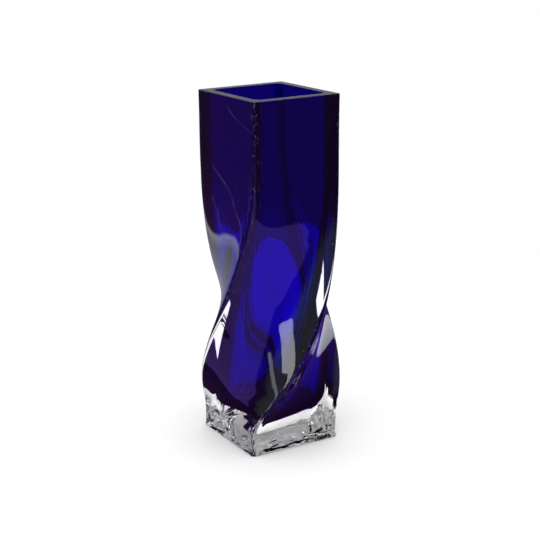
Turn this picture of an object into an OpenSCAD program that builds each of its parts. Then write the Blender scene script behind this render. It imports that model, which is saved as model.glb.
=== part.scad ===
// Square vase of cased glass, twisted a little over a quarter turn while it was hot.
// A thin cobalt-blue inner layer lines the cavity. A thick clear casing surrounds it and
// runs on below the cavity as a solid foot. The two layers meet face to face all over.
// The base stands on the XY plane, centred on the Z axis. The sides of the rim lie along
// X and Y.

/* [Outline] */
// Height from the base to the rim
height = 250; // [230:5:300]
// Width across the flats at the base, before the swell is added
foot_side = 67.4; // [60:0.1:72]
// Width across the flats at the rim, before the swell is added
rim_side = 70.6; // [66:0.1:76]
// Extra width at the fullest part of the body
swell = 6.1; // [0:0.1:12]
// Height of the fullest part of the body
swell_height = 57; // [40:1:100]
// Distance over which the swell fades away, up and down
swell_reach = 94; // [60:1:140]
// How far the belly stands off the axis, as hot glass does when it is turned by hand
belly_lean = 1; // [0:0.1:2]
// How far the rim stands off the axis, the other way
rim_lean = 1.1; // [0:0.1:2]
// Direction of the belly's lean, counted from +X
lean_direction = -34; // [-180:1:180]

/* [Twist] */
// Turn of the rim against the base
twist = 93; // [30:1:120]
// Height at which the body begins to turn
twist_low = 17; // [5:1:40]
// Height at which it stands straight again
twist_high = 213; // [150:1:225]
// Below 1, most of the turn is taken low down in the body
twist_ease = 0.62; // [0.5:0.01:1]

/* [Corners and faces] */
// Radius of the outer edges at the base
foot_corner = 3; // [1:0.1:4]
// Radius of the outer edges where the body is twisted
body_corner = 3.6; // [1:0.1:6]
// Radius of the outer edges at the rim
rim_corner = 1.4; // [0.8:0.1:4]
// How far the middle of each twisted face is drawn in
face_hollow = 1.2; // [0:0.1:2]
// Bevel round the base and the outside of the rim
bevel = 0.6; // [0.2:0.1:0.8]

/* [Layers] */
// Thickness of the clear casing at the rim
clear_wall = 5.6; // [5.6:0.1:7]
// How much thicker the clear casing is low down
wall_growth = 1.8; // [0:0.1:1.8]
// Thickness of the clear glass under the blue layer
clear_foot = 22; // [12:1:35]
// Thickness of the blue layer at the walls
blue_wall = 1.2; // [0.8:0.1:2]
// Thickness of the blue layer under the cavity
blue_floor = 2.6; // [1:0.1:5]
// Radius of the blue layer's upright edges at the rim
blue_rim_corner = 2.6; // [2.4:0.1:6]
// Radius of the blue layer's upright edges low down, where the glass pulled them round
blue_low_corner = 15; // [12:0.5:17]
// Radius of the edge between the blue layer's walls and its floor
blue_floor_edge = 10; // [5:0.5:11]
// How much rounder the cavity's upright edges are, where the blue glass pooled in them
blue_pool = 4; // [0:0.1:5]

/* [Hidden] */

corner_steps = 4;
face_steps = 5;
outer_levels = 48;
inner_levels = 42;
edge_steps = 5;
// Smallest radius that a corner keeps where a floor's edge curves in
least_corner = 1;
// Heights between which the edges change their radius and the casing its thickness
corner_low = 20;
corner_high = 100;
straight_from = 0.8 * height;
// Heights over which the sunk faces take up the hollow of the outside
dip_low = clear_foot + blue_floor_edge;
dip_high = dip_low + blue_floor_edge;

// A smooth step from 0 to 1 between two heights
function way(z, low, high) = min(1, max(0, (z - low) / (high - low)));
function smooth(t) = t * t * (3 - 2 * t);
function blend(a, b, t) = a + (b - a) * smooth(t);

// The body's rule: how far it has turned, leant and swelled at a height
function turn_at(z) = -twist * (1 - smooth(pow(way(z, twist_low, twist_high), twist_ease)));
function lean_at(z) = belly_lean * pow(sin(180 * pow(z / height, 0.6)), 2) - rim_lean * z / height;
function side_at(z) = foot_side + (rim_side - foot_side) * z / height
    + swell * exp(-pow((z - swell_height) / swell_reach, 2));
function hollow_at(z) = face_hollow * pow(sin(180 * way(z, 0, twist_high)), 2);
function outer_corner_at(z) = z < corner_high
    ? blend(foot_corner, body_corner, way(z, 0, corner_high))
    : blend(body_corner, rim_corner, way(z, corner_high, straight_from));
function blue_corner_at(z) = blend(blue_low_corner, blue_rim_corner, way(z, corner_low, straight_from));

// The rules differ for the outside and for the faces sunk inside it
function is_sunk(inset) = inset > clear_wall / 2;
function corner_at(z, inset, pool) = max(least_corner,
    is_sunk(inset) ? blue_corner_at(z) - (inset - clear_wall) + pool : outer_corner_at(z) - inset);
function growth_at(z, inset) =
    is_sunk(inset) ? blend(wall_growth, 0, way(z, corner_low, straight_from)) : 0;
function dip_at(z, inset) = hollow_at(z) * (is_sunk(inset) ? way(z, dip_low, dip_high) : 1);

// A quarter of one level: a rounded corner, then the hollow face that follows it
function quarter(flat, r, dip) = concat(
    [for (k = [0:corner_steps]) let (a = 90 * k / corner_steps) [flat + r * cos(a), flat + r * sin(a)]],
    [for (k = [1:face_steps - 1]) let (u = 1 - 2 * k / face_steps)
        [flat * u, flat + r - dip * pow(1 - u * u, 2)]]
);

// One level of the body at height z, drawn in from the outside by inset
function level(z, inset, pool = 0) =
    let (r = corner_at(z, inset, pool), half = side_at(z) / 2 - inset - growth_at(z, inset),
        pts = quarter(half - r, r, dip_at(z, inset)))
    [for (q = [0:3]) for (p = pts) let (a = 90 * q + turn_at(z)) [
        p.x * cos(a) - p.y * sin(a) + lean_at(z) * cos(lean_direction),
        p.x * sin(a) + p.y * cos(a) + lean_at(z) * sin(lean_direction),
        z
    ]];

// The outside: bevelled base, walls, bevelled rim
function outside() = concat(
    [level(0, bevel)],
    [for (k = [0:outer_levels]) level(bevel + (height - 2 * bevel) * k / outer_levels, 0)],
    [level(height, bevel)]
);

// A pocket sunk inside the outside: a flat floor, a round edge, then walls up to the rim
function pocket(inset, floor_z, edge, pool = 0) = concat(
    [for (k = [0:edge_steps - 1]) let (a = 90 * k / edge_steps)
        level(floor_z + edge * (1 - cos(a)), inset + edge * (1 - sin(a)), pool)],
    [for (k = [0:inner_levels]) let (low = floor_z + edge)
        level(low + (height - low) * k / inner_levels, inset, pool)]
);

function joint_face() = pocket(clear_wall, clear_foot, blue_floor_edge);
function cavity_face() = pocket(clear_wall + blue_wall, clear_foot + blue_floor,
    blue_floor_edge - blue_wall, blue_pool);

function downwards(levels) = [for (k = [len(levels) - 1:-1:0]) levels[k]];

// A closed skin through successive levels, capped by its first and its last.
// Each square between two levels is cut from its lower left to its upper right,
// whichever way the levels run, so two skins through the same points meet exactly.
module skin(levels) {
    n = len(levels[0]);
    top = len(levels) - 1;
    faces = [
        [for (j = [0:n - 1]) j],
        for (i = [0:top - 1]) for (j = [0:n - 1])
            let (a = i * n + j, b = i * n + (j + 1) % n, c = b + n, d = a + n)
            each (levels[i + 1][0].z >= levels[i][0].z ? [[a, c, b], [a, d, c]] : [[a, d, b], [b, d, c]]),
        [for (j = [n - 1:-1:0]) top * n + j]
    ];
    polyhedron(points = [for (l = levels) each l], faces = faces, convexity = 6);
}

// The thick clear outer glass, with its solid foot
module clear_casing() {
    color([0.86, 0.89, 0.92, 0.35])
        skin(concat(outside(), downwards(joint_face())));
}

// The thin blue inner glass that holds the cavity
module cobalt_liner() {
    color([0.07, 0.03, 0.48, 0.8])
        skin(concat(joint_face(), downwards(cavity_face())));
}

clear_casing();
cobalt_liner();
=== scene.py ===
import math

import bpy
from mathutils import Euler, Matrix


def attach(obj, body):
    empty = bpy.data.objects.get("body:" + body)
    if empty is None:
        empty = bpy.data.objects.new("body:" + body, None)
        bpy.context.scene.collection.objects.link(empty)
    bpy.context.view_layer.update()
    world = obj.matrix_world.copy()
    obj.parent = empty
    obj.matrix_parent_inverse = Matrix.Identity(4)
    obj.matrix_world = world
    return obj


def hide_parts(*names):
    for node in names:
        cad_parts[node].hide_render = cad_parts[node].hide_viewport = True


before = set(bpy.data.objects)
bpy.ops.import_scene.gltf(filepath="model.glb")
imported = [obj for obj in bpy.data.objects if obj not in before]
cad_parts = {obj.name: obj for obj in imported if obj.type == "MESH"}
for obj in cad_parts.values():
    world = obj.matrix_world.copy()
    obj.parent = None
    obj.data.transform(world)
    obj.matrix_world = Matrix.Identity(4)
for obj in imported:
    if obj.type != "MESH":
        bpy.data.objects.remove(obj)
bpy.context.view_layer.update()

scene = bpy.context.scene

# Camera: a long lens, a little above the rim and turned so that two sides of the vase
# show, the wide one on the right.
lens_mm = 86.5
camera_turn = math.radians(-34.2)
camera_distance = 0.885
camera_height = 0.3825
camera_tilt = math.radians(16.36)

camera = bpy.data.objects.new("camera", bpy.data.cameras.new("camera"))
camera.data.lens = lens_mm
camera.data.sensor_width = 36.0
camera.location = (
    camera_distance * math.sin(camera_turn),
    -camera_distance * math.cos(camera_turn),
    camera_height,
)
camera.rotation_euler = (math.radians(90) - camera_tilt, 0.0, camera_turn)
scene.collection.objects.link(camera)
scene.camera = camera


# ---------------------------------------------------------------------------------------
# Clear casing: the outside of the vase, a thick gather of clear crystal over the blue, with
# a solid foot below it. Blown square in a mould, then gripped at the mouth and turned by
# hand while the foot was held, so the lower body took most of the twist.

# The rule of the body, in metres. Both layers of glass follow it.
body_sizes = {
    "Height": 0.250,
    "Foot side": 0.0674,
    "Rim side": 0.0706,
    "Swell": 0.0061,
    "Swell height": 0.057,
    "Swell reach": 0.094,
    "Belly lean": 0.001,
    "Rim lean": 0.0011,
    "Lean direction": math.radians(-34),
    "Twist": math.radians(93),
    "Twist low": 0.017,
    "Twist high": 0.213,
    "Twist ease": 0.62,
    "Foot corner": 0.003,
    "Body corner": 0.0036,
    "Rim corner": 0.0014,
    "Least corner": 0.001,
    "Corner low": 0.020,
    "Corner high": 0.100,
    "Straight from": 0.200,
    "Face hollow": 0.0012,
    "Clear wall": 0.0056,
    "Wall growth": 0.0018,
    "Blue low corner": 0.015,
    "Blue rim corner": 0.0026,
    "Dip low": 0.032,
    "Dip high": 0.042,
}
clear_wall = body_sizes["Clear wall"]
clear_foot = 0.022
blue_floor_edge = 0.010
bevel = 0.0006
beyond_axis = 0.040
corner_steps = 12
face_steps = 24
fillet_steps = 7
ring_step = 0.001
crisp_angle = math.radians(40)
# waviness: how fast it changes with height in metres, and the noise that makes it
wave_rise = 22.0
wave_noise = {"Scale": 1.6, "Detail": 1.0, "Roughness": 0.4, "Distortion": 0.8}
merge_distance = 1e-6

# The body's rule as one step a line: a name, what is done, and the terms. A term is a
# number, one of the sizes above, or the name of an earlier step.
body_rule = [
    # how far the body has turned at this height
    ("climb", "LINEAR", "z", "Twist low", "Twist high", 0.0, 1.0),
    ("eased climb", "POWER", "climb", "Twist ease"),
    ("whole turn", "MULTIPLY", "Twist", -1.0),
    ("turn", "SMOOTHSTEP", "eased climb", 0.0, 1.0, "whole turn", 0.0),
    # how far it leans: out at the belly, back at the rim
    ("share", "DIVIDE", "z", "Height"),
    ("early share", "POWER", "share", 0.6),
    ("half wave", "MULTIPLY", "early share", math.pi),
    ("bow", "SINE", "half wave"),
    ("bow squared", "MULTIPLY", "bow", "bow"),
    ("belly out", "MULTIPLY", "bow squared", "Belly lean"),
    ("rim back", "MULTIPLY", "share", "Rim lean"),
    ("lean", "SUBTRACT", "belly out", "rim back"),
    # how wide it is
    ("off the swell", "SUBTRACT", "z", "Swell height"),
    ("swells off", "DIVIDE", "off the swell", "Swell reach"),
    ("swells off squared", "MULTIPLY", "swells off", "swells off"),
    ("fall", "MULTIPLY", "swells off squared", -1.0),
    ("fading", "EXPONENT", "fall"),
    ("taper", "LINEAR", "z", 0.0, "Height", "Foot side", "Rim side"),
    ("side", "MULTIPLY_ADD", "Swell", "fading", "taper"),
    # sunk is 1 on the faces inside the casing, 0 on the outside
    ("half the wall", "MULTIPLY", "Clear wall", 0.5),
    ("sunk", "GREATER_THAN", "inset", "half the wall"),
    ("not sunk", "SUBTRACT", 1.0, "sunk"),
    # corner radius: one rule outside, another inside, rounder where the blue pooled
    ("low edge", "SMOOTHSTEP", "z", 0.0, "Corner high", "Foot corner", "Body corner"),
    ("edge narrows by", "SUBTRACT", "Rim corner", "Body corner"),
    ("high edge", "SMOOTHSTEP", "z", "Corner high", "Straight from", 0.0, "edge narrows by"),
    ("outer edge", "ADD", "low edge", "high edge"),
    ("outer edge kept", "MULTIPLY", "outer edge", "not sunk"),
    ("blue edge", "SMOOTHSTEP", "z", "Corner low", "Straight from", "Blue low corner", "Blue rim corner"),
    ("blue edge from wall", "ADD", "blue edge", "Clear wall"),
    ("cavity side", "GREATER_THAN", "stretch", 2.5),
    ("blue edge pooled", "MULTIPLY_ADD", "cavity side", "Pool", "blue edge from wall"),
    ("blue edge kept", "MULTIPLY", "blue edge pooled", "sunk"),
    ("edge", "ADD", "outer edge kept", "blue edge kept"),
    ("edge inside", "SUBTRACT", "edge", "inset"),
    ("edge at least", "MAXIMUM", "edge inside", "Least corner"),
    # hollow of the faces, which the sunk faces take up a little above their floor
    ("bowl wave", "LINEAR", "z", 0.0, "Twist high", 0.0, math.pi),
    ("bowl", "SINE", "bowl wave"),
    ("bowl squared", "MULTIPLY", "bowl", "bowl"),
    ("full hollow", "MULTIPLY", "bowl squared", "Face hollow"),
    ("sunk takes up", "LINEAR", "z", "Dip low", "Dip high", 0.0, 1.0),
    ("taken up", "MAXIMUM", "sunk takes up", "not sunk"),
    ("dip", "MULTIPLY", "full hollow", "taken up"),
    # depth from the outside: the wall is thicker low down, and a free face is a little
    # wavy, most of all round the foot
    ("wall thicker", "SMOOTHSTEP", "z", "Corner low", "Straight from", "Wall growth", 0.0),
    ("thicker depth", "MULTIPLY_ADD", "wall thicker", "sunk", "inset"),
    ("wave size", "SMOOTHSTEP", "z", "Wave foot", "Wave body", "Foot wave", "Body wave"),
    ("wave fades in", "SMOOTHSTEP", "z", 0.0, 0.004, 0.0, "wave size"),
    ("past the joint", "GREATER_THAN", "stretch", "Fused from"),
    ("before its end", "LESS_THAN", "stretch", "Fused to"),
    ("on the joint", "MULTIPLY", "past the joint", "before its end"),
    ("free", "SUBTRACT", 1.0, "on the joint"),
    ("wave kept", "MULTIPLY", "wave fades in", "free"),
    ("depth", "MULTIPLY_ADD", "wave kept", "waviness", "thicker depth"),
    ("half side", "MULTIPLY", "side", 0.5),
    ("half left", "SUBTRACT", "half side", "depth"),
    ("half", "MAXIMUM", "half left", 0.0),
    ("radius", "MINIMUM", "edge at least", "half"),
    ("flat", "SUBTRACT", "half", "radius"),
    # round the corner, then along the face to the next one
    ("quarter", "FLOOR", "quarters"),
    ("along", "FRACT", "quarters"),
    ("round angle", "LINEAR", "along", 0.0, "Corner share", 0.0, math.radians(90)),
    ("across", "LINEAR", "along", "Corner share", 1.0, 1.0, -1.0),
    ("across squared", "MULTIPLY", "across", "across"),
    ("mid face", "SUBTRACT", 1.0, "across squared"),
    ("mid face squared", "MULTIPLY", "mid face", "mid face"),
    ("drawn in", "MULTIPLY", "dip", "mid face squared"),
    ("round x", "COSINE", "round angle"),
    ("corner x", "MULTIPLY", "radius", "round x"),
    ("x", "MULTIPLY_ADD", "flat", "across", "corner x"),
    ("round y", "SINE", "round angle"),
    ("full y", "MULTIPLY_ADD", "radius", "round y", "flat"),
    ("y", "SUBTRACT", "full y", "drawn in"),
    ("angle", "MULTIPLY_ADD", "quarter", math.radians(90), "turn"),
    ("lean along x", "COSINE", "Lean direction"),
    ("lean along y", "SINE", "Lean direction"),
    ("lean x", "MULTIPLY", "lean", "lean along x"),
    ("lean y", "MULTIPLY", "lean", "lean along y"),
    # nearness to an upright edge, which the material uses for wear
    ("off the middle", "ABSOLUTE", "across"),
    ("near an edge", "LINEAR", "off the middle", 0.84, 1.0, 0.0, 1.0),
]


def add(tree, kind, inputs=(), **settings):
    """Add a node. Settings are its own properties; inputs are sockets, nodes or plain
    values, given by order or by name."""
    node = tree.nodes.new(kind)
    for name, value in settings.items():
        setattr(node, name, value)
    pairs = inputs.items() if isinstance(inputs, dict) else enumerate(inputs)
    for key, value in pairs:
        if isinstance(value, bpy.types.Node):
            value = value.outputs[0]
        if isinstance(value, bpy.types.NodeSocket):
            tree.links.new(value, node.inputs[key])
        else:
            node.inputs[key].default_value = value
    return node


def skin_tree(sizes):
    """A closed skin of the twisted square body, swept along a profile that runs from the
    axis out along the underside, up one face, across the rim, down the other face and back
    to the axis. A profile point is an inset from the outside and a height."""
    tree = bpy.data.node_groups.new("twisted glass skin", "GeometryNodeTree")
    tree.is_modifier = True
    for name, value in sizes.items():
        socket = tree.interface.new_socket(name, in_out="INPUT", socket_type="NodeSocketFloat")
        socket.default_value = value
    tree.interface.new_socket("Material", in_out="INPUT", socket_type="NodeSocketMaterial")
    tree.interface.new_socket("Skin", in_out="OUTPUT", socket_type="NodeSocketGeometry")
    given = add(tree, "NodeGroupInput").outputs
    known = {name: given[name] for name in sizes}

    # The profile: six corner points, rounded where the glass is, then cut into fine steps
    index = add(tree, "GeometryNodeInputIndex").outputs[0]
    corners = [
        (beyond_axis, given["Outer bottom"], 0.0),
        (given["Outer inset"], given["Outer bottom"], given["Outer round"]),
        (given["Outer inset"], given["Height"], given["Rim round"]),
        (given["Inner inset"], given["Height"], 0.0),
        (given["Inner inset"], given["Inner bottom"], given["Inner round"]),
        (beyond_axis, given["Inner bottom"], 0.0),
    ]
    pick_point = add(tree, "GeometryNodeIndexSwitch", {0: index}, data_type="VECTOR")
    pick_round = add(tree, "GeometryNodeIndexSwitch", {0: index}, data_type="FLOAT")
    for _ in corners[2:]:
        pick_point.index_switch_items.new()
        pick_round.index_switch_items.new()
    for k, (inset, height, radius) in enumerate(corners):
        point = add(tree, "ShaderNodeCombineXYZ", {"X": inset, "Z": height})
        tree.links.new(point.outputs[0], pick_point.inputs[1 + k])
        if isinstance(radius, bpy.types.NodeSocket):
            tree.links.new(radius, pick_round.inputs[1 + k])
    points = add(tree, "GeometryNodePoints", (len(corners), pick_point))
    profile = add(tree, "GeometryNodePointsToCurves", (points,))
    stretch = add(tree, "GeometryNodeCaptureAttribute", (profile,), domain="POINT")
    stretch.capture_items.new("FLOAT", "stretch")
    tree.links.new(index, stretch.inputs[1])
    known["stretch"] = stretch.outputs[1]
    filleted = add(
        tree,
        "GeometryNodeFilletCurve",
        {"Curve": stretch, "Count": fillet_steps, "Radius": pick_round},
        mode="POLY",
    )
    here = add(tree, "GeometryNodeInputPosition")
    next_index = add(tree, "ShaderNodeMath", (index, 1.0), operation="ADD")
    following = add(
        tree, "GeometryNodeFieldAtIndex", {"Value": here, "Index": next_index}, data_type="FLOAT_VECTOR"
    )
    gap = add(tree, "ShaderNodeVectorMath", (here, following), operation="DISTANCE").outputs["Value"]
    steps = add(tree, "ShaderNodeMath", (gap, given["Ring step"]), operation="DIVIDE")
    cuts = add(tree, "ShaderNodeMath", (steps,), operation="FLOOR")
    fine = add(tree, "GeometryNodeSubdivideCurve", (filleted, cuts))
    place = add(tree, "ShaderNodeSeparateXYZ", (here,)).outputs
    rail = add(tree, "GeometryNodeCaptureAttribute", (fine,), domain="POINT")
    rail.capture_items.new("FLOAT", "inset")
    tree.links.new(place["X"], rail.inputs[1])
    rail.capture_items.new("FLOAT", "height")
    tree.links.new(place["Z"], rail.inputs[2])
    known["inset"], known["z"] = rail.outputs[1], rail.outputs[2]

    # The ring that is swept along it: four corners and four faces, by their share of a turn
    quarter_steps = corner_steps + face_steps
    known["Corner share"] = corner_steps / quarter_steps
    ring = add(tree, "GeometryNodeCurvePrimitiveCircle", {"Resolution": 4 * quarter_steps})
    in_quarters = add(tree, "ShaderNodeMath", (index, float(quarter_steps)), operation="DIVIDE")
    turn_share = add(tree, "GeometryNodeCaptureAttribute", (ring,), domain="POINT")
    turn_share.capture_items.new("FLOAT", "quarters")
    tree.links.new(in_quarters.outputs[0], turn_share.inputs[1])
    known["quarters"] = turn_share.outputs[1]
    swept = add(tree, "GeometryNodeCurveToMesh", (rail, turn_share))

    # Waviness of hand-worked glass: slow ripples that were carried round with the twist
    angle = add(tree, "ShaderNodeMath", (known["quarters"], math.radians(90)), operation="MULTIPLY")
    around_x = add(tree, "ShaderNodeMath", (angle,), operation="COSINE")
    around_y = add(tree, "ShaderNodeMath", (angle,), operation="SINE")
    upward = add(tree, "ShaderNodeMath", (known["z"], wave_rise), operation="MULTIPLY")
    around = add(tree, "ShaderNodeCombineXYZ", (around_x, around_y, upward))
    ripple = add(
        tree,
        "ShaderNodeTexNoise",
        {"Vector": around, **wave_noise},
        noise_dimensions="3D",
    )
    known["waviness"] = ripple.outputs[0]

    # The body's rule, one node a line
    for name, operation, *terms in body_rule:
        values = [known.get(term, term) for term in terms]
        if operation in ("LINEAR", "SMOOTHSTEP"):
            node = add(tree, "ShaderNodeMapRange", values, interpolation_type=operation)
        else:
            node = add(tree, "ShaderNodeMath", values, operation=operation)
        known[name] = node.outputs[0]

    flat_place = add(tree, "ShaderNodeCombineXYZ", (known["x"], known["y"], known["z"]))
    turned = add(
        tree,
        "ShaderNodeVectorRotate",
        {"Vector": flat_place, "Angle": known["angle"]},
        rotation_type="Z_AXIS",
    )
    leaning = add(tree, "ShaderNodeCombineXYZ", (known["lean x"], known["lean y"]))
    placed = add(tree, "ShaderNodeVectorMath", (turned, leaning), operation="ADD")
    shaped = add(tree, "GeometryNodeSetPosition", {"Geometry": swept, "Position": placed})

    # Close the two ends at the axis, mark the fused faces, smooth all but the crisp edges
    closed = add(tree, "GeometryNodeMergeByDistance", {"Geometry": shaped, "Distance": merge_distance})
    marked = add(
        tree,
        "GeometryNodeStoreNamedAttribute",
        {"Geometry": closed, "Name": "fused", "Value": known["on the joint"]},
        domain="FACE",
    )
    worn = add(
        tree,
        "GeometryNodeStoreNamedAttribute",
        {"Geometry": marked, "Name": "edge", "Value": known["near an edge"]},
        domain="POINT",
    )
    smooth = add(tree, "GeometryNodeSetShadeSmooth", {"Geometry": worn})
    bend = add(tree, "GeometryNodeInputMeshEdgeAngle")
    crisp = add(tree, "ShaderNodeMath", (bend, crisp_angle), operation="GREATER_THAN")
    edged = add(
        tree,
        "GeometryNodeSetShadeSmooth",
        {"Geometry": smooth, "Selection": crisp, "Shade Smooth": False},
        domain="EDGE",
    )
    real = add(tree, "GeometryNodeRealizeInstances", {"Geometry": edged})
    finished = add(tree, "GeometryNodeSetMaterial", {"Geometry": real, "Material": given["Material"]})
    add(tree, "NodeGroupOutput", (finished,))
    return tree


def make_skin(name, layer_sizes, material):
    """Run the skin tree with one layer's sizes and keep the result as a plain mesh."""
    piece = bpy.data.objects.new(name, bpy.data.meshes.new(name))
    scene.collection.objects.link(piece)
    modifier = piece.modifiers.new("twisted glass skin", "NODES")
    sizes = {**body_sizes, **layer_sizes}
    modifier.node_group = skin_tree(sizes)
    for item in modifier.node_group.interface.items_tree:
        if item.name in sizes:
            modifier[item.identifier] = sizes[item.name]
        elif item.name == "Material":
            modifier[item.identifier] = material
    evaluated = piece.evaluated_get(bpy.context.evaluated_depsgraph_get())
    mesh = bpy.data.meshes.new_from_object(evaluated)
    piece.modifiers.remove(modifier)
    piece.data = mesh
    mesh.name = name
    return piece


def linear(hex_colour):
    """An sRGB hex colour as linear red, green, blue and alpha."""
    channels = [int(hex_colour[k : k + 2], 16) / 255 for k in (1, 3, 5)]
    return [c / 12.92 if c <= 0.04045 else ((c + 0.055) / 1.055) ** 2.4 for c in channels] + [1.0]


# Lead-free crystal, fire polished: mirror smooth and almost colourless, a trace grey in
# the thick foot. The ground base is satin, the rim was ground and buffed. A few cords,
# where the gather folded, stand as hair-fine curved lines, and the upright edges carry
# pin-point nicks and rubs.
glass_ior, no_bend = 1.52, 1.0
# heights in metres between which the satin base ends and the buffed rim begins
base_ends, rim_begins = (0.0001, 0.0003), (0.2493, 0.2499)
base_satin, rim_satin, nick_satin = 0.05, 0.12, 0.35
# nicks: specks about 0.4 mm across, drawn out upwards, and how clear the glass is in one
nick_scale, nick_stretch, nick_level, nick_clearness = 1600.0, (1.0, 1.0, 0.3), (0.66, 0.72), 0.9
# cords: curved lines round one fold on the side that faces -X, between an X and above a
# height. Each wanders off its ring, and fades in and out along its way.
cord_fold = (-0.024, 0.046, 0.160)
cord_spacing, cord_width, cord_depth = 0.026, 0.0008, 0.00009
cord_face, cords_above = (-0.0335, -0.0325), (0.13, 0.15)
wander_scale, wander_reach = 22.0, 0.03
fade_scale, fade_level, least_fade = 26.0, (0.4, 0.6), 0.1
# chill marks on the base, about 16 mm apart, and ripples round the foot, about 20 mm
# apart; both come in patches about 30 mm across, with smooth glass between them
patch_scale, patch_level, least_patch = 30.0, (0.44, 0.58), 0.12
chill_noise, chill_depth = {"Scale": 64.0, "Detail": 1.0, "Distortion": 1.5}, 0.0009
ripple_noise, ripple_depth = {"Scale": 46.0, "Detail": 0.5, "Distortion": 1.5}, 0.0024
foot_ends = (0.015, 0.045)

crystal = bpy.data.materials.new("clear crystal glass, fire polished")
crystal.use_nodes = True
tree = crystal.node_tree
surface = tree.nodes["Principled BSDF"]
surface.inputs["Base Color"].default_value = linear("#FFFFFF")
surface.inputs["Transmission Weight"].default_value = 1.0
fused = add(tree, "ShaderNodeAttribute", attribute_name="fused").outputs["Fac"]
bending = add(tree, "ShaderNodeMapRange", (fused, 0.0, 1.0, glass_ior, no_bend))
tree.links.new(bending.outputs[0], surface.inputs["IOR"])
free = add(tree, "ShaderNodeMath", (1.0, fused), operation="SUBTRACT")
spot = add(tree, "ShaderNodeTexCoord").outputs["Object"]
place = add(tree, "ShaderNodeSeparateXYZ", (spot,)).outputs
level = place["Z"]

# roughness and clearness: ground base, buffed rim, nicks
ground = add(tree, "ShaderNodeMapRange", (level, *base_ends, base_satin, 0.0))
buffed = add(tree, "ShaderNodeMapRange", (level, *rim_begins, 0.0, rim_satin))
drawn_out = add(tree, "ShaderNodeMapping", {"Vector": spot, "Scale": nick_stretch})
specks = add(tree, "ShaderNodeTexNoise", {"Vector": drawn_out, "Scale": nick_scale, "Detail": 2.0})
sparse = add(tree, "ShaderNodeMapRange", (specks, *nick_level, 0.0, 1.0))
near_edge = add(tree, "ShaderNodeAttribute", attribute_name="edge").outputs["Fac"]
nicks = add(tree, "ShaderNodeMath", (sparse, near_edge), operation="MULTIPLY")
nick_rough = add(tree, "ShaderNodeMath", (nicks, nick_satin), operation="MULTIPLY")
clear_left = add(tree, "ShaderNodeMapRange", (nicks, 0.0, 1.0, 1.0, nick_clearness))
tree.links.new(clear_left.outputs[0], surface.inputs["Transmission Weight"])
satin = add(tree, "ShaderNodeMath", (ground, buffed), operation="ADD")
rough = add(tree, "ShaderNodeMath", (satin, nick_rough), operation="ADD")
rough_free = add(tree, "ShaderNodeMath", (rough, free), operation="MULTIPLY")
tree.links.new(rough_free.outputs[0], surface.inputs["Roughness"])

# cords
wander = add(
    tree, "ShaderNodeTexNoise", {"Vector": spot, "Scale": wander_scale, "Detail": 1.0}
).outputs["Color"]
wandered = add(
    tree,
    "ShaderNodeVectorMath",
    {0: wander, 1: (wander_reach, wander_reach, wander_reach), 2: spot},
    operation="MULTIPLY_ADD",
)
from_fold = add(tree, "ShaderNodeVectorMath", (wandered, cord_fold), operation="DISTANCE").outputs["Value"]
ring_phase = add(tree, "ShaderNodeMath", (from_fold, cord_spacing / 2), operation="PINGPONG")
cord = add(
    tree,
    "ShaderNodeMapRange",
    (ring_phase, 0.0, cord_width / 2, 1.0, 0.0),
    interpolation_type="SMOOTHSTEP",
)
left_side = add(tree, "ShaderNodeMapRange", (place["X"], *cord_face, 1.0, 0.0))
above_belly = add(tree, "ShaderNodeMapRange", (level, *cords_above, 0.0, 1.0))
fading = add(tree, "ShaderNodeTexNoise", {"Vector": spot, "Scale": fade_scale, "Detail": 0.0})
faded = add(tree, "ShaderNodeMapRange", (fading, *fade_level, least_fade, 1.0))
on_left = add(tree, "ShaderNodeMath", (left_side, above_belly), operation="MULTIPLY")
cord_here = add(tree, "ShaderNodeMath", (on_left, faded), operation="MULTIPLY")
cords = add(
    tree, "ShaderNodeBump", {"Strength": cord_here, "Distance": cord_depth, "Height": cord}
)

# chill marks, then ripples
patch = add(tree, "ShaderNodeTexNoise", {"Vector": spot, "Scale": patch_scale, "Detail": 0.0})
patchy = add(
    tree,
    "ShaderNodeMapRange",
    (patch, *patch_level, least_patch, 1.0),
    interpolation_type="SMOOTHSTEP",
)
chilled = add(tree, "ShaderNodeTexNoise", {"Vector": spot, **chill_noise})
on_base = add(tree, "ShaderNodeMapRange", (level, *base_ends, 1.0, 0.0))
base_patch = add(tree, "ShaderNodeMath", (on_base, patchy), operation="MULTIPLY")
chill_marks = add(
    tree,
    "ShaderNodeBump",
    {"Strength": base_patch, "Distance": chill_depth, "Height": chilled, "Normal": cords},
)
rippled = add(tree, "ShaderNodeTexNoise", {"Vector": spot, **ripple_noise})
on_foot = add(
    tree, "ShaderNodeMapRange", (level, *foot_ends, 1.0, 0.0), interpolation_type="SMOOTHSTEP"
)
foot_patch = add(tree, "ShaderNodeMath", (on_foot, patchy), operation="MULTIPLY")
ripples = add(
    tree,
    "ShaderNodeBump",
    {"Strength": foot_patch, "Distance": ripple_depth, "Height": rippled, "Normal": chill_marks},
)
tree.links.new(ripples.outputs[0], surface.inputs["Normal"])
crystal_density = 2.0
clear_body = add(tree, "ShaderNodeVolumeAbsorption", (linear("#E8ECE4"), crystal_density))
tree.links.new(clear_body.outputs[0], tree.nodes["Material Output"].inputs["Volume"])

casing = make_skin(
    "clear_casing_glass",
    {
        "Outer bottom": 0.0,
        "Outer inset": 0.0,
        "Inner inset": clear_wall,
        "Inner bottom": clear_foot,
        "Outer round": bevel,
        "Rim round": bevel,
        "Inner round": blue_floor_edge,
        "Ring step": ring_step,
        "Pool": 0.0,
        "Wave foot": 0.020,
        "Wave body": 0.060,
        "Foot wave": 0.0016,
        "Body wave": 0.0003,
        "Fused from": 2.999,
        "Fused to": 6.0,
    },
    crystal,
)
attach(casing, "root")
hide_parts("clear_casing")


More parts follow.
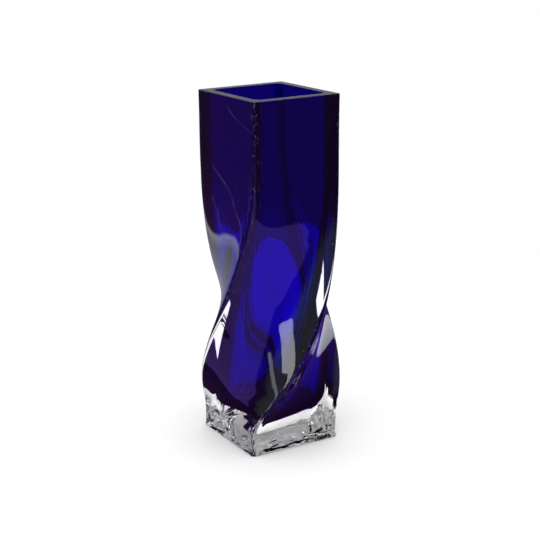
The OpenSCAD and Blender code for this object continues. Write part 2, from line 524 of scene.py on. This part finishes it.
# ---------------------------------------------------------------------------------------
# Cobalt liner: the first gather, blown out of cobalt-blue glass before the clear was cased
# over it. It lines the cavity, 1.2 mm thick at the walls, thicker in the corners where it
# pooled and under the cavity where it sank. Its outside is fused to the casing.
blue_wall = 0.0012
blue_floor = 0.0026
blue_pool = 0.004
hair = 0.00002
cobalt_density = 5000.0

# Cobalt glass, fire polished: mirror smooth where it is free, so dense a violet-blue that
# two walls of it let through almost no red or green.
cobalt = bpy.data.materials.new("cobalt blue glass, fire polished")
cobalt.use_nodes = True
tree = cobalt.node_tree
surface = tree.nodes["Principled BSDF"]
surface.inputs["Base Color"].default_value = linear("#FFFFFF")
surface.inputs["Roughness"].default_value = 0.0
surface.inputs["Transmission Weight"].default_value = 1.0
fused = add(tree, "ShaderNodeAttribute", attribute_name="fused").outputs["Fac"]
bending = add(tree, "ShaderNodeMapRange", (fused, 0.0, 1.0, glass_ior, no_bend))
tree.links.new(bending.outputs[0], surface.inputs["IOR"])
blue_body = add(tree, "ShaderNodeVolumeAbsorption", (linear("#B07AF4"), cobalt_density))
tree.links.new(blue_body.outputs[0], tree.nodes["Material Output"].inputs["Volume"])

liner = make_skin(
    "cobalt_liner_glass",
    {
        "Outer bottom": clear_foot + hair,
        "Outer inset": clear_wall + hair,
        "Inner inset": clear_wall + blue_wall,
        "Inner bottom": clear_foot + blue_floor,
        "Outer round": blue_floor_edge,
        "Rim round": 0.0,
        "Inner round": blue_floor_edge - blue_wall,
        "Ring step": ring_step,
        "Pool": blue_pool,
        "Wave foot": 0.030,
        "Wave body": 0.090,
        "Foot wave": 0.0012,
        "Body wave": 0.0003,
        "Fused from": -1.0,
        "Fused to": 2.0,
    },
    cobalt,
)
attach(liner, "root")
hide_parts("cobalt_liner")


# ---------------------------------------------------------------------------------------
# Floor: a round sheet of white paper on a table, pale and matt. It is hidden from mirror
# reflections, so that the faces of the glass stay deep in colour, and it lies a hair below
# the base, so that the base reflects inside the foot as it does on a dry table.
floor_radius = 0.55
floor_points = 128
floor_drop = 0.0002
rim_angles = [2 * math.pi * k / floor_points for k in range(floor_points)]
floor = bpy.data.objects.new("floor", bpy.data.meshes.new("floor"))
floor.data.from_pydata(
    [(floor_radius * math.cos(a), floor_radius * math.sin(a), -floor_drop) for a in rim_angles],
    [],
    [tuple(range(floor_points))],
)
scene.collection.objects.link(floor)
floor.visible_glossy = False

# White paper: matt and even.
paper = bpy.data.materials.new("white paper, matt")
paper.use_nodes = True
surface = paper.node_tree.nodes["Principled BSDF"]
surface.inputs["Base Color"].default_value = linear("#F4F4F4")
surface.inputs["Roughness"].default_value = 0.9
surface.inputs["Specular IOR Level"].default_value = 0.0
floor.data.materials.append(paper)


# ---------------------------------------------------------------------------------------
# Light: a white room with two soft boxes. The world has a picture for each kind of ray:
# white behind the vase, dim below the horizon where it is seen through the glass, and a
# dark front with a bright sweep behind where it is mirrored in the glass.
backdrop = (1.0, 1.0, 1.0, 1.0)
room = (1.25, 1.25, 1.25, 1.0)
# seen through the glass, from the horizon up: height of the direction, strength
seen_stops = ((0.0, 0.24), (0.1, 0.24), (0.35, 0.32), (0.6, 0.55), (1.0, 0.1))
# mirrored below the horizon: how far towards the sweep, colour
sweep_turn = math.radians(72)
low_stops = (
    (0.0, "#5E347C"),
    (0.835, "#5E347C"),
    (0.85, "#FFFFFF"),
    (0.89, "#B4B2BE"),
    (1.0, "#9A98A6"),
)
# mirrored above the horizon, and the height over which that takes over
high_colour, high_from = "#9C9CA2", 0.12
# one bright card, low down at the right: its direction, its soft edge and its light
card_turn, card_rise = math.radians(12), math.radians(-9)
card_edge = (0.978, 0.984)
card_light = (1.9, 1.9, 2.0, 1.0)

studio = bpy.data.worlds.new("studio")
scene.world = studio
studio.use_nodes = True
tree = studio.node_tree
rays = add(tree, "ShaderNodeLightPath").outputs
heading = add(tree, "ShaderNodeTexCoord").outputs["Generated"]
sky = add(tree, "ShaderNodeSeparateXYZ", (heading,)).outputs

seen = add(tree, "ShaderNodeValToRGB", (sky["Z"],))
while len(seen.color_ramp.elements) < len(seen_stops):
    seen.color_ramp.elements.new(0.5)
for stop, (at, strength) in zip(seen.color_ramp.elements, seen_stops):
    stop.position = at
    stop.color = (strength, strength, strength, 1.0)

behind = add(
    tree,
    "ShaderNodeVectorMath",
    (heading, (math.cos(sweep_turn), math.sin(sweep_turn), 0.0)),
    operation="DOT_PRODUCT",
).outputs["Value"]
low = add(tree, "ShaderNodeValToRGB", (behind,))
while len(low.color_ramp.elements) < len(low_stops):
    low.color_ramp.elements.new(0.5)
for stop, (at, colour) in zip(low.color_ramp.elements, low_stops):
    stop.position = at
    stop.color = linear(colour)
above = add(
    tree,
    "ShaderNodeMapRange",
    (sky["Z"], 0.0, high_from, 0.0, 1.0),
    interpolation_type="SMOOTHSTEP",
)
sweep = add(tree, "ShaderNodeMix", {0: above, 6: low, 7: linear(high_colour)}, data_type="RGBA")
card_way = (
    math.cos(card_rise) * math.cos(card_turn),
    math.cos(card_rise) * math.sin(card_turn),
    math.sin(card_rise),
)
off_card = add(tree, "ShaderNodeVectorMath", (heading, card_way), operation="DOT_PRODUCT").outputs["Value"]
on_card = add(
    tree,
    "ShaderNodeMapRange",
    (off_card, *card_edge, 0.0, 1.0),
    interpolation_type="SMOOTHSTEP",
)
mirrored = add(
    tree, "ShaderNodeMix", {0: on_card, 6: sweep.outputs[2], 7: card_light}, data_type="RGBA"
)

# A ray that passed through glass counts as a mirrored one too, so the picture seen through
# the glass is laid over the mirrored one
lit_or_mirrored = add(
    tree,
    "ShaderNodeMix",
    {0: rays["Is Glossy Ray"], 6: room, 7: mirrored.outputs[2]},
    data_type="RGBA",
)
or_seen = add(
    tree,
    "ShaderNodeMix",
    {0: rays["Is Transmission Ray"], 6: lit_or_mirrored.outputs[2], 7: seen},
    data_type="RGBA",
)
or_camera = add(
    tree,
    "ShaderNodeMix",
    {0: rays["Is Camera Ray"], 6: or_seen.outputs[2], 7: backdrop},
    data_type="RGBA",
)
tree.links.new(or_camera.outputs[2], tree.nodes["Background"].inputs["Color"])

# Painted reflection: a flat sheet on the table that shines violet though it is no lamp. It stands for
# the light that the vase throws on the table as its own front faces mirror it. Only mirror
# reflections show it, so it paints a violet reflection on the front faces. Its outline is in
# metres right of the camera's line and towards the camera, as seen from the vase.
glow_strength = 1.35
glow_outline = [
    (-0.40, 0.02),
    (-0.06, 0.02),
    (-0.06, 0.10),
    (0.14, 0.10),
    (0.29, 0.21),
    (0.50, 0.35),
    (0.79, 0.56),
    (1.12, 0.95),
    (1.54, 1.66),
    (1.26, 1.89),
    (0.60, 1.19),
    (0.25, 0.79),
    (0.09, 0.63),
    (0.05, 0.44),
    (-0.40, 0.40),
]
glow = bpy.data.objects.new("painted violet reflection on the table", bpy.data.meshes.new("violet glow"))
cos_turn, sin_turn = math.cos(camera_turn), math.sin(camera_turn)
glow.data.from_pydata(
    [(cos_turn * a + sin_turn * b, sin_turn * a - cos_turn * b, -floor_drop / 2) for a, b in glow_outline],
    [],
    [tuple(range(len(glow_outline)))],
)
scene.collection.objects.link(glow)
# hidden from all but mirror rays, so the sheet only paints a reflection
glow.visible_camera = False
glow.visible_diffuse = False
glow.visible_transmission = False
glow.visible_shadow = False
# painted reflection: the sheet's violet emission, seen only mirrored in the glass
violet = bpy.data.materials.new("painted violet reflection light")
violet.use_nodes = True
surface = violet.node_tree.nodes["Principled BSDF"]
surface.inputs["Base Color"].default_value = linear("#000000")
surface.inputs["Specular IOR Level"].default_value = 0.0
surface.inputs["Emission Color"].default_value = linear("#A070FF")
surface.inputs["Emission Strength"].default_value = glow_strength
glow.data.materials.append(violet)

# Two soft boxes left of the camera, tipped to the right: a broad one, and a narrow one to
# its side. Each: name, direction and rise from the vase in degrees, length and width in
# metres, power in watts.
box_distance = 1.3
box_aim = (-0.012, -0.039, 0.080)
box_tip = math.radians(-24)
soft_boxes = [
    ("broad soft box", 206, 10, 1.10, 0.25, 4.2),
    ("narrow soft box", 180, 5, 0.95, 0.08, 0.5),
]
for name, direction, rise, length, width, power in soft_boxes:
    light = bpy.data.lights.new(name, "AREA")
    light.shape = "RECTANGLE"
    light.size, light.size_y = length, width
    light.energy = power
    box = bpy.data.objects.new(name, light)
    turn, lift = math.radians(direction), math.radians(rise)
    box.location = (
        box_aim[0] + box_distance * math.cos(lift) * math.cos(turn),
        box_aim[1] + box_distance * math.cos(lift) * math.sin(turn),
        box_aim[2] + box_distance * math.sin(lift),
    )
    facing = Euler((math.radians(90) - lift, 0.0, turn + math.radians(90))).to_matrix()
    tipped = facing @ Euler((0.0, 0.0, box_tip)).to_matrix()
    box.rotation_euler = tipped.to_euler()
    scene.collection.objects.link(box)

# Glass inside glass needs long light paths
scene.cycles.max_bounces = 32
scene.cycles.transmission_bounces = 32
scene.cycles.glossy_bounces = 16
scene.view_settings.view_transform = "Standard"
